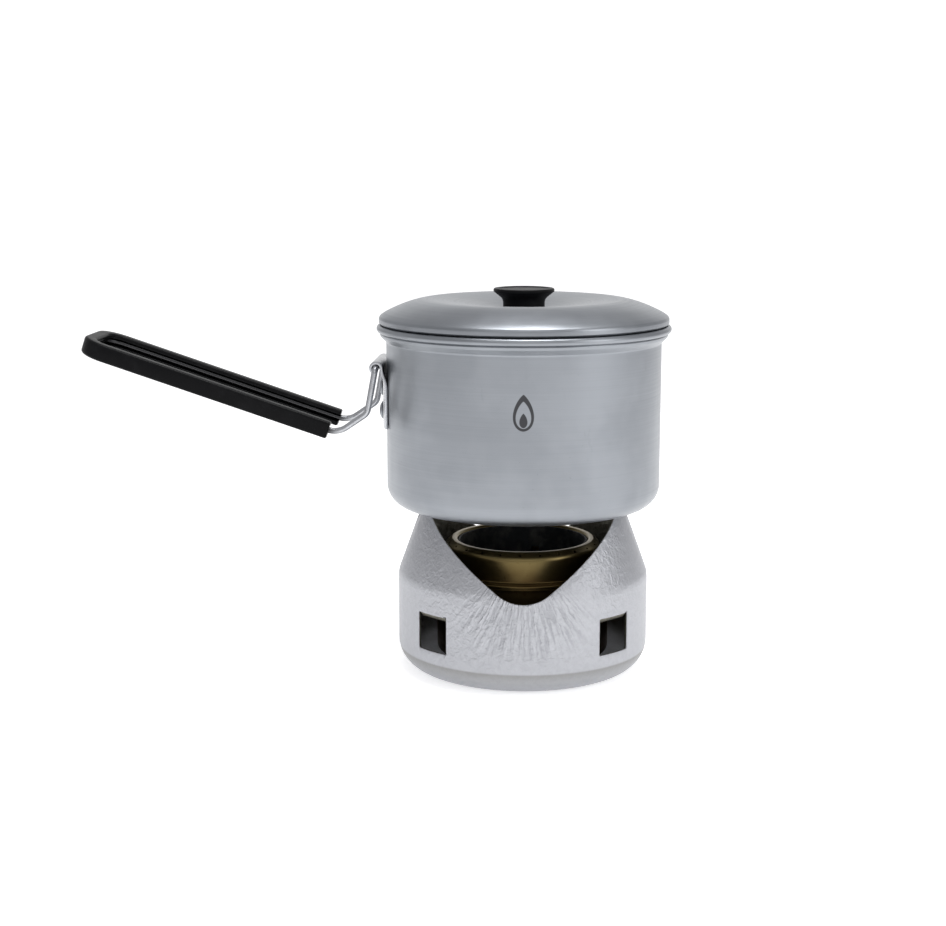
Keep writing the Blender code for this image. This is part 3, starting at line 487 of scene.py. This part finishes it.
def makeBurner(brass, wellShade, felt):
    base, sheet, low, top = burner["base"], burner["sheet"], burner["flangeLow"], burner["top"]
    cup, lip = burner["cupRadius"], cupHigh[0]
    inner = roundCorners(
        [(0, base + sheet), (cup - sheet, base + sheet), (cup - sheet, low + sheet), (lip, low + sheet)],
        [burner["cupCorner"] - sheet, 0.3 * mm], 8)
    outer = roundCorners([(lip, low), (cup, low), (cup, base), (0, base)],
                         [burner["lipBend"], burner["cupCorner"]], 8)
    piece = turnPiece("burnerCup", inner + outer, 160)
    smooth(piece)
    dress(piece, brass, "burner", "brass", "burner_cup")

    flange, collar, rim, slope = burner["flangeTop"], burner["collar"], burner["rim"], burner["rimSlope"]
    outward = roundCorners(
        [(rim, top - burner["rimDeep"]), (rim, top), (rim + slope, top), (collar, top - slope),
         (collar, flange), (burner["flangeRadius"], flange), (burner["flangeRadius"], flange - sheet)],
        [1.1 * mm, 1.3 * mm, burner["shoulder"], 0.5 * mm, 0.35 * mm], 7)
    inward = roundCorners(
        [(collar - sheet, flange - sheet), (collar - sheet, top - slope - 0.4 * sheet),
         (rim + slope - 0.3 * sheet, top - sheet), (rim + sheet, top - sheet),
         (rim + sheet, top - burner["rimDeep"])],
        [burner["shoulder"] - sheet, 0.5 * mm, 0.3 * mm], 5)
    piece = turnPiece("burnerShell", outward + inward, 192)
    reach = (collar + rim + slope) / 2
    for number in range(burner["jets"]):
        about = 2 * math.pi * number / burner["jets"]
        where = Vector((reach * math.cos(about), reach * math.sin(about), top - burner["jetDrop"]))
        fresh()
        bpy.ops.mesh.primitive_cylinder_add(vertices=14, radius=burner["jet"], depth=5 * mm, location=where,
                                            rotation=(0, math.radians(45), about))
        tool = named("jetTool")
        if number:
            fresh()
            bpy.context.view_layer.objects.active = tools
            tools.select_set(True)
            tool.select_set(True)
            bpy.ops.object.join()
        else:
            tools = tool
    carve(piece, tools)
    smooth(piece)
    dress(piece, brass, "burner", "brass", "burner_upper_shell")

    well, wall = burner["well"], burner["wellSheet"]
    wellTop, wellFoot = wellHigh[2], wellLow[2]
    start = (well - wall, wellFoot + 5 * mm)
    piece = turnPiece("burnerWell", roundCorners(
        [start, (well - wall, wellTop), (well, wellTop), (well, wellFoot), (well - wall, wellFoot), start],
        [0.25 * mm, 0.25 * mm, 0.0, 0.0], 4)[:-1], 160)
    slotZ = top - burner["slotDrop"] - burner["slotTall"] / 2
    for number in range(burner["slots"]):
        about = burner["slotTurn"] + number * 2 * math.pi / burner["slots"]
        where = (well * math.cos(about), well * math.sin(about), slotZ)
        fresh()
        bpy.ops.mesh.primitive_cube_add(size=1, location=where, rotation=(0, 0, about),
                                        scale=(4 * mm, burner["slotWide"], burner["slotTall"]))
        tool = named("slotTool")
        apply(tool, "BEVEL", width=0.7 * mm, segments=4)
        carve(piece, tool)
    smooth(piece)
    # the inner wall takes the dark grey painted shade
    dress(piece, wellShade, "burner", "brass", "burner_inner_wall")

    outside, inside = wickHigh[0], burner["well"] + burner["wickPlay"]
    foot, head = wickLow[2], wickHigh[2]
    piece = turnPiece("wickRing", roundCorners(
        [(inside, (foot + head) / 2), (inside, head), (outside, head), (outside, foot), (inside, foot),
         (inside, (foot + head) / 2)],
        [burner["wickRound"], burner["wickRound"], burner["cupCorner"] - sheet, 0.4 * mm], 6)[:-1], 128)
    smooth(piece)
    dress(piece, felt, "burner", "wick", "burner_wick")
    print("burner made")


# pot
potLow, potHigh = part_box("pot")
pot = {
    "radius": 57.5 * mm, "sheet": 1.0 * mm, "low": potLow[2], "top": potHigh[2], "corner": 9.0 * mm,
    "bead": 1.6 * mm, "beadAt": potHigh[0] - 1.6 * mm, "flare": 6.8 * mm,
    "tone": (0.275, 0.290, 0.312), "shade": (0.18, 0.191, 0.207), "rough": 0.36,
    "flareBend": 3 * mm, "bandReach": 0.3 * mm, "bandLevels": (1.35 * mm, 2.0 * mm, 3.0 * mm),
    "markHeight": 115.5 * mm, "markSize": 5.6 * mm, "markTurn": math.radians(2.0),
    "ink": (0.02, 0.02, 0.024),
}


def spunLook(name, marked=False):
    look = Look(name)
    x, y, z = look.axes()
    place = look.join(x, y, z)
    radius = look.root(x * x + y * y)
    turnLines = look.noise(look.join(x * 14, y * 14, (z + radius) * 3000), 1.0, 3.0, 0.6)
    wide = look.noise(look.join(x * 5, y * 5, (z + radius) * 240), 1.0, 2.0, 0.5)
    clouds = look.noise(place, 26.0, 3.0, 0.55)
    specks = look.noise(place, 900.0, 2.0, 0.5)
    rubbed = look.noise(look.join(x * 1.0, y * 1.0, z * 0.35), 150.0, 4.0, 0.65)
    dark = look.spread(clouds, 0.62, 0.36, 0.0, 0.40) + (turnLines - 0.5) * 0.30 + (wide - 0.5) * 0.22 \
        + look.spread(specks, 0.70, 0.80, 0.0, 0.35) + look.spread(rubbed, 0.64, 0.78, 0.0, 0.22)
    dark = look.smaller(look.larger(dark, 0.0), 1.0)
    tone = look.mix(dark, pot["tone"], pot["shade"])
    rough = pot["rough"] + (turnLines - 0.5) * 0.18 + (clouds - 0.5) * 0.16 + (rubbed - 0.5) * 0.08
    metal = 1.0
    normal = look.bump(turnLines, 0.03 * mm, 0.55, look.bump(wide, 0.10 * mm, 0.35))
    if marked:  # a plain printed flame on the front of the wall
        cosine, sine = math.cos(pot["markTurn"]), math.sin(pot["markTurn"])
        across = (x * cosine + y * sine) / pot["markSize"]
        front = look.spread(y * cosine - x * sine, -0.5 * pot["radius"], -0.6 * pot["radius"])
        up = (z - pot["markHeight"]) / pot["markSize"]

        def drop(size, shift):  # over 0 inside a drop of this size
            rise = look.smaller(look.larger((up - shift) / size, -1.0), 1.6)
            width = look.root(look.larger((rise + 1.0) * (1.6 - rise) ** 1.6, 0.0)) * 0.52
            return width * size - look.size(across)

        line = look.spread(drop(1.0, 0.0), 0.0, 0.04) * (1 - look.spread(drop(0.74, -0.07), 0.0, 0.04)) \
            + look.spread(drop(0.40, -0.36), 0.0, 0.04)
        ink = look.smaller(line, 1.0) * front
        tone = look.mix(ink, tone, pot["ink"])
        rough = rough * (1 - ink) + ink * 0.55
        metal = 1 - ink
    return look.finish(Base_Color=tone, Metallic=metal, Roughness=rough, Normal=normal)


def makePot(finish):
    radius, inside, low, top = pot["radius"], pot["radius"] - pot["sheet"], pot["low"], pot["top"]
    bead, middle = pot["bead"], (pot["beadAt"], pot["top"] - pot["bead"])
    flare, sheet = top - pot["flare"], pot["sheet"]
    outline = roundCorners(
        [(0, low + sheet), (inside, low + sheet), (inside, flare), (middle[0] - bead, middle[1])],
        [pot["corner"] - sheet, pot["flareBend"]], 9)
    outline += arc(middle, bead, 165, -50, 16)
    bandTop, bandMiddle, bandEnd = [middle[1] - level for level in pot["bandLevels"]]
    outline += roundCorners(
        [(middle[0], bandTop), (middle[0] + pot["bandReach"], bandMiddle), (middle[0], bandEnd),
         (radius, flare - 0.2 * mm), (radius, low), (0, low)],
        [0.4 * mm, 0.9 * mm, 1.4 * mm, pot["corner"]], 9)
    piece = turnPiece("potBody", outline, 256)
    smooth(piece, 40)
    dress(piece, finish, "pot", "spun_aluminium", "pot")
    print("pot made")


# hinge bracket and rivets
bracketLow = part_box("handle_bracket")[0]
joints = {joint["name"]: joint for joint in frame["record"]["behaviour"]["joints"]}
hinge = joints["handle_fold"]["pos_m"]
bracket = {
    "sheet": 1.2 * mm, "wide": 31.0 * mm, "radius": 58.4 * mm, "curl": 2.2 * mm, "low": bracketLow[2],
    "blend": 4.0 * mm, "curlAngle": math.radians(250), "rivets": (109.5 * mm, 119.5 * mm),
    "rivetRadius": 2.0 * mm, "rivetHead": 3.7 * mm, "crown": 1.4 * mm, "rivetEdge": 0.35 * mm,
    "gap": 0.3 * mm,
    "tone": (0.42, 0.43, 0.45), "rough": 0.26,
}


def steelLook(name, along):
    look = Look(name)
    x, y, z = look.axes()
    place = look.join(x, y, z)
    stretch = {"wire": (900, 900, 900), "plate": (260, 3000, 260)}[along]
    lines = look.noise(look.join(x * stretch[0], y * stretch[1], z * stretch[2]), 1.0, 3.0, 0.6)
    clouds = look.noise(place, 160.0, 3.0, 0.6)
    dull = look.spread(clouds, 0.40, 0.72, 0.0, 0.6)
    tone = look.mix(dull, bracket["tone"], (0.30, 0.30, 0.31))
    if along == "wire":  # painted shade: the part inside the sleeve is coloured nearly black
        start, stop = [hinge[0] - way for way in handle["stain"]]
        tone = look.mix(look.spread(x, start, stop), tone, (0.05, 0.05, 0.052))
    rough = bracket["rough"] + (lines - 0.5) * 0.14 + dull * 0.12
    normal = look.bump(lines, 0.02 * mm, 0.5)
    return look.finish(Base_Color=tone, Metallic=1.0, Roughness=rough, Normal=normal)


def makeBracket(finish):
    half, low, sheet = bracket["wide"] / 2, bracket["low"], bracket["sheet"]
    plate = hinge[0] + bracket["curl"]
    count = 20
    row = []
    for step in range(count + 1):  # the lowest row follows the pot's round wall
        y = -half + 2 * half * step / count
        row.append((plate + bracket["radius"] - math.sqrt(bracket["radius"] ** 2 - y * y), y, low))
    piece = drawLine("hingeBracket", row, closed=False)
    bpy.ops.mesh.select_all(action="SELECT")
    straight = hinge[2] - bracket["blend"] * 2
    extrude((0, 0, straight - low))
    share, steps = 1.0, 8
    for step in range(1, steps + 1):  # and the sheet flattens before it curls
        extrude((0, 0, bracket["blend"] * 2 / steps))
        wanted = max(0.5 + 0.5 * math.cos(math.pi * step / steps), 0.0001)
        bpy.ops.transform.resize(value=(wanted / share, 1, 1), center_override=(plate, 0, 0))
        share = wanted
    bpy.ops.mesh.spin(steps=20, angle=bracket["curlAngle"], center=(hinge[0], 0, hinge[2]), axis=(0, 1, 0))
    piece = closeUp(piece)
    apply(piece, "SOLIDIFY", thickness=sheet * 0.98, offset=0.0, use_even_offset=True)
    apply(piece, "BEVEL", width=0.22 * mm, segments=2, limit_method="ANGLE", angle_limit=math.radians(60))
    smooth(piece, 40)
    dress(piece, finish, "pot", "stainless_steel", "handle_bracket")


def makeRivets(finish):
    inside = pot["radius"] - pot["sheet"]
    sag = inside - math.sqrt(inside ** 2 - bracket["rivetHead"] ** 2)
    near = bracket["radius"] + bracket["sheet"] / 2 + bracket["gap"]
    far = inside - sag - bracket["gap"]
    head, pin = bracket["rivetHead"], bracket["rivetRadius"]
    crown, edge = bracket["crown"], bracket["rivetEdge"]
    grip, shoulder, slope, middle = near - far, head * 0.62, crown * 0.92, crown * 0.96
    nodes = {"rivetLower": "bracket_rivet_lower", "rivetUpper": "bracket_rivet_upper"}
    for (name, node), height in zip(nodes.items(), bracket["rivets"]):
        outline = roundCorners(
            [(0, -crown), (shoulder, -slope), (head, -edge), (head, 0), (pin, 0), (pin, grip), (head, grip),
             (head, grip + edge), (shoulder, grip + slope), (0, grip + crown)],
            [2.5 * mm, 0.2 * mm, 0, 0, 0, 0, 0.2 * mm, 2.5 * mm], 6)
        outline[0].y = outline[1].y = -middle
        outline[-1].y = outline[-2].y = grip + middle
        piece = turnPiece(name, outline, 48)
        piece.matrix_world = Matrix.Translation((-near, 0, height)) @ Matrix.Rotation(math.pi / 2, 4, "Y")
        fresh()
        bpy.context.view_layer.objects.active = piece
        piece.select_set(True)
        bpy.ops.object.transform_apply(location=True, rotation=True, scale=True)
        smooth(piece, 40)
        dress(piece, finish, "pot", "spun_aluminium", node)
    print("bracket and rivets made")


# folding handle
handle = {
    "pitch": math.radians(18.5), "wire": 1.3 * mm, "limb": 17.2 * mm, "tail": 7.5 * mm,
    "knee": (2.6 * mm, -18.6 * mm), "heel": (-6.5 * mm, -30.6 * mm), "drop": 30.6 * mm,
    "gripStart": 10.5 * mm, "gripLong": 109.9 * mm, "gripTall": 7.2 * mm, "gripThick": 5.2 * mm,
    "corner": 8.5 * mm, "groove": 1.6 * mm, "roundness": 1.2 * mm, "chamfer": 0.5 * mm,
    # the last pair sets how far out from the hinge the painted shade on the wire inside the sleeve begins and
    # is full
    "bends": (2.0 * mm, 4.5 * mm, 9.0 * mm), "stain": (14 * mm, 20 * mm),
    "tone": (0.0035, 0.0035, 0.004), "worn": (0.010, 0.010, 0.011), "rough": 0.36,
}


def fromHinge(x, y, z):  # a place beside the hinge, with the grip's rise taken in
    cosine, sine = math.cos(handle["pitch"]), math.sin(handle["pitch"])
    return Vector((hinge[0] + x * cosine + z * sine, y, hinge[2] - x * sine + z * cosine))


def plasticLook(name, rough):
    look = Look(name)
    x, y, z = look.axes()
    place = look.join(x, y, z)
    grain = look.noise(place, 1700.0, 3.0, 0.6)
    clouds = look.noise(place, 110.0, 3.0, 0.55)
    dust = look.noise(place, 700.0, 2.0, 0.5)
    light = look.spread(clouds, 0.45, 0.75, 0.0, 0.5) + look.spread(dust, 0.70, 0.80, 0.0, 0.5)
    tone = look.mix(look.smaller(light, 1.0), handle["tone"], handle["worn"])
    rough = rough + (grain - 0.5) * 0.18 + (clouds - 0.5) * 0.14
    return look.finish(Base_Color=tone, Metallic=0.0, Specular_IOR_Level=0.07, Roughness=rough,
                       Normal=look.bump(grain, 0.05 * mm, 0.5))


def halfLoop(piece, corners, radii, steps):  # one side of the loop, closed at its free end and mirrored
    sweep(piece, corners, radii, steps)
    pick(piece, lambda vertex: vertex.index < firstRing[piece.name])
    bpy.ops.mesh.edge_face_add()
    closeUp(piece)
    apply(piece, "MIRROR", use_axis=(False, True, False), use_clip=True, merge_threshold=0.00001)
    bpy.context.view_layer.objects.active = piece
    bpy.ops.object.mode_set(mode="EDIT")
    closeUp(piece)


firstRing = {}


def makeWire(finish):
    end = -(handle["gripStart"] + handle["gripLong"] - handle["gripThick"] / 2)
    limb = handle["limb"]
    (kneeX, kneeZ), (heelX, heelZ) = handle["knee"], handle["heel"]
    corners = [fromHinge(0, -handle["tail"], 0), fromHinge(0, -limb, 0), fromHinge(kneeX, -limb, kneeZ),
               fromHinge(heelX, -limb, heelZ), fromHinge(end, -limb, heelZ), fromHinge(end, 0, heelZ)]
    fresh()
    bpy.ops.mesh.primitive_circle_add(vertices=24, radius=handle["wire"], location=corners[0],
                                      rotation=(math.pi / 2, 0, 0))
    piece = named("handleWire")
    firstRing[piece.name] = 24
    bpy.ops.object.mode_set(mode="EDIT")
    bpy.ops.mesh.select_all(action="SELECT")
    halfLoop(piece, corners, [*handle["bends"], handle["corner"]], 12)
    smooth(piece, 40)
    dress(piece, finish, "handle", "stainless_steel", "handle_wire")


def makeGrip(finish):
    end = -(handle["gripStart"] + handle["gripLong"] - handle["gripThick"] / 2)
    limb, drop, start = handle["limb"], -handle["drop"], -handle["gripStart"]
    thick, tall, groove = handle["gripThick"] / 2, handle["gripTall"] / 2, handle["groove"]
    around = handle["roundness"]
    lip = (-thick, (groove + tall) / 2)
    ring = roundCorners(
        [lip, (-thick, tall), (thick, tall), (thick, -tall), (-thick, -tall), (-thick, -groove),
         (groove, -groove), (groove, groove), (-thick, groove), lip],
        [around, around, around, around, 0.4 * mm, 1.0 * mm, 1.0 * mm, 0.4 * mm], 5)[:-1]
    chamfer = handle["chamfer"]
    piece = drawLine("gripSleeve", [fromHinge(start, -limb - u * 0.86, drop + v * 0.90) for u, v in ring])
    bpy.ops.mesh.select_all(action="SELECT")
    bpy.ops.object.mode_set(mode="OBJECT")
    firstRing[piece.name] = len(piece.data.vertices)
    bpy.ops.object.mode_set(mode="EDIT")
    extrude(fromHinge(start - chamfer, 0, drop) - fromHinge(start, 0, drop))
    bpy.ops.object.mode_set(mode="OBJECT")
    full = {vertex.index: fromHinge(start - chamfer, -limb - u, drop + v)
            for vertex, (u, v) in zip([v for v in piece.data.vertices if v.select], ring)}
    for index, place in full.items():
        piece.data.vertices[index].co = place
    bpy.ops.object.mode_set(mode="EDIT")
    corners = [fromHinge(start - chamfer, -limb, drop), fromHinge(end, -limb, drop),
               fromHinge(end, 0, drop)]
    halfLoop(piece, corners, [handle["corner"]], 16)
    smooth(piece, 40)
    dress(piece, finish, "handle", "black_plastic", "grip_sleeve")
    print("handle made")


# lid, knob and screw
lidLow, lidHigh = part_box("lid")
knobLow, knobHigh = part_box("knob")
washerLow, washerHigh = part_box("knob_washer")
screwLow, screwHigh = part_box("knob_screw")
lid = {
    "radius": lidHigh[0], "sheet": 1.0 * mm, "low": lidLow[2] + 5.0 * mm, "plug": 5.0 * mm,
    "skirt": 1.9 * mm, "step": 0.7 * mm, "edge": 2.2 * mm, "crown": 0.4 * mm, "crownRound": 1.8 * mm,
    "crest": 41.0 * mm, "rise": 5.7 * mm, "dish": 4.1 * mm, "outerPower": 1.6, "dishPower": 1.5,
    "play": 0.6 * mm, "hole": 2.3 * mm, "seat": 10.0 * mm, "seatRise": 0.3 * mm, "slope": 1.2 * mm,
}
knob = {
    "foot": knobLow[2], "top": knobHigh[2], "neck": 8.7 * mm, "radius": knobHigh[0], "flare": 3.4 * mm,
    "rim": 1.3 * mm, "bore": 2.3 * mm, "deep": 6.6 * mm, "dish": 0.4 * mm,
    "screw": 2.0 * mm, "head": screwHigh[0], "headTall": 2.2 * mm, "driver": 0.9 * mm, "driverDeep": 0.8 * mm,
    "rough": 0.42,
}


def makeLid(finish):
    low, radius, sheet = lid["low"], lid["radius"], lid["sheet"]
    edgeTop = low + lid["step"] + lid["skirt"]
    shoulder = radius - lid["edge"]
    domeEdge = edgeTop + lid["edge"] * 0.85
    crest, ridge = lid["crest"], domeEdge + lid["rise"]
    seatTop, foot = ridge - lid["dish"] + lid["seatRise"], lid["seat"] + lid["slope"]

    def dome(r):  # up from the edge to a low ring, and down again to the knob's seat
        if r > crest:
            return ridge - lid["rise"] * ((r - crest) / (shoulder - crest)) ** lid["outerPower"]
        return ridge - lid["dish"] * ((crest - r) / (crest - foot)) ** lid["dishPower"]

    spread = [foot + (crest - foot) * step / 16 for step in range(16)]
    spread += [crest + (shoulder - crest) * step / 16 for step in range(17)]
    upper = roundCorners([(lid["hole"], seatTop), (lid["seat"], seatTop), (foot, dome(foot))],
                         [0.8 * mm], 5)[:-1]
    upper += [Vector((r, dome(r))) for r in spread]
    upper += roundCorners([(shoulder, domeEdge), (radius, edgeTop + lid["crown"]),
                           (radius, edgeTop - lid["skirt"])], [lid["crownRound"]], 9)[1:]
    plug = pot["radius"] - pot["sheet"] - lid["play"]
    under = roundCorners(
        [(radius, edgeTop - lid["skirt"]), (pot["beadAt"], low), (plug, low), (plug, low - lid["plug"]),
         (plug - sheet, low - lid["plug"]), (plug - sheet, low + sheet)],
        [0.3 * mm, 0.5 * mm, 0.3 * mm, 0.3 * mm], 4)[1:]
    inner = [Vector((r, dome(r) - sheet)) for r in reversed(spread) if r < plug - 1.4 * sheet]
    inner += [Vector((lid["seat"] - sheet / 2, seatTop - sheet)), Vector((lid["hole"], seatTop - sheet))]
    piece = turnPiece("lidShell", upper + under + inner, 256)
    smooth(piece, 40)
    dress(piece, finish, "lid", "spun_aluminium", "lid")


def makeKnob(plastic, steel):
    foot, top, radius = knob["foot"], knob["top"], knob["radius"]
    outline = roundCorners(
        [(0, top - knob["dish"]), (radius * 0.80, top - knob["dish"]), (radius * 0.88, top), (radius, top),
         (radius, top - knob["rim"]), (knob["neck"], foot + knob["flare"]), (knob["neck"], foot),
         (knob["bore"], foot), (knob["bore"], foot + knob["deep"]), (0, foot + knob["deep"])],
        [0.8 * mm, 0.5 * mm, 0.6 * mm, 0.5 * mm, 3.0 * mm, 0.35 * mm, 0, 0], 7)
    piece = turnPiece("lidKnob", outline, 128)
    smooth(piece, 40)
    dress(piece, plastic, "lid", "black_plastic", "knob")

    under, low = washerHigh[2], washerLow[2]
    bore, outside = knob["bore"], washerHigh[0]
    start = (bore, (under + low) / 2)
    piece = turnPiece("knobWasher", roundCorners(
        [start, (bore, under), (outside, under), (outside, low), (bore, low), start],
        [0.1 * mm, 0.2 * mm, 0.2 * mm, 0.1 * mm], 3)[:-1], 64)
    smooth(piece, 40)
    dress(piece, steel, "lid", "stainless_steel", "knob_washer")

    head, tip, base = knob["head"], screwHigh[2], screwLow[2]
    piece = turnPiece("knobScrew", roundCorners(
        [(0, tip), (knob["screw"], tip), (knob["screw"], base + knob["headTall"]),
         (head, base + knob["headTall"]), (head, base), (0, base)],
        [0.4 * mm, 0, 0.15 * mm, 1.3 * mm], 6), 64)
    fresh()
    bpy.ops.mesh.primitive_cube_add(size=1, location=(0, 0, base),
                                    scale=(3 * head, knob["driver"], 2 * knob["driverDeep"]))
    tool = named("driverTool")
    apply(tool, "BEVEL", width=0.1 * mm, segments=2)
    carve(piece, tool)
    smooth(piece, 40)
    dress(piece, steel, "lid", "stainless_steel", "knob_screw")
    print("lid, knob and screw made")


# studio
studio = {
    "eye": (-0.5 * mm, -737.7 * mm, 218.7 * mm), "yaw": -0.0281, "pitch": 0.1764, "lens": 67.281,
    "around": math.radians(2.0), "floor": (0.90, 0.90, 0.90), "grain": (0.92, 0.92, 0.92),
    "walls": (0.60, 0.60, 0.61), "backdrop": (1.1, 1.1, 1.1), "floorGlow": 0.52,
}


def areaLight(name, place, aim, size, power, colour=(1, 1, 1)):
    fresh()
    bpy.ops.object.light_add(type="AREA", location=place)
    light = bpy.context.object
    light.name = name
    light.data.shape = "RECTANGLE"
    light.data.size, light.data.size_y = size
    light.data.energy, light.data.color = power, colour
    light.rotation_euler = (Vector(aim) - Vector(place)).to_track_quat("-Z", "Y").to_euler()


def setStudio():
    fresh()
    bpy.ops.mesh.primitive_plane_add(size=6, location=(0, 0, 0))
    floor = named("studioFloor")
    look = Look("paleFloor")
    x, y, z = look.axes()
    grain = look.noise(look.join(x, y, z), 400.0, 2.0, 0.5)
    floor.data.materials.append(look.finish(Base_Color=look.mix(grain, studio["floor"], studio["grain"]),
                                            Roughness=0.9, Emission_Color=(1, 1, 1, 1),
                                            Emission_Strength=studio["floorGlow"]))

    scene = bpy.context.scene
    scene.view_settings.view_transform = "Standard"
    # white behind the stove and grey all round it
    sky = Look("studioWorld", sky=True)
    ray = sky.add("ShaderNodeTexCoord", output="Generated")
    behind = sky.spread(sky.add("ShaderNodeSeparateXYZ", {}, {0: ray}, 1), 0.84, 0.93)
    scene.world = sky.finish(Color=sky.mix(behind, studio["walls"], studio["backdrop"]), Strength=1.0)

    areaLight("overhead", (0.05, -0.05, 1.1), (0, 0, 0.08), (0.45, 0.45), 7)
    areaLight("frontBox", (0.05, -1.4, 0.95), (0, 0, 0.07), (1.3, 0.8), 2.6)
    areaLight("rightBox", (1.1, -0.6, 0.6), (0, 0, 0.09), (0.5, 0.9), 4)

    x, y, z = studio["eye"]
    turn = studio["around"]
    place = Matrix.Rotation(turn, 3, "Z") @ Vector((x, y, z))
    fresh()
    bpy.ops.object.camera_add(location=place,
                              rotation=(math.pi / 2 - studio["pitch"], 0, turn - studio["yaw"]))
    camera = bpy.context.object
    camera.name = "studioCamera"
    camera.data.sensor_width, camera.data.lens = 36, studio["lens"]
    camera.data.clip_start, camera.data.clip_end = 0.01, 20
    scene.camera = camera
    print("studio set")


makeStand(pressedLook())
brass = brassLook()
makeBurner(brass, wellLook(), feltLook())
makePot(spunLook("spunPot", marked=True))
makeBracket(steelLook("bracketSteel", "plate"))
makeRivets(spunLook("rivetAluminium"))
makeWire(steelLook("drawnWire", "wire"))
makeGrip(plasticLook("sleevePlastic", handle["rough"]))
makeLid(spunLook("spunLid"))
makeKnob(plasticLook("knobPlastic", knob["rough"]), steelLook("fixingSteel", "wire"))
setStudio()
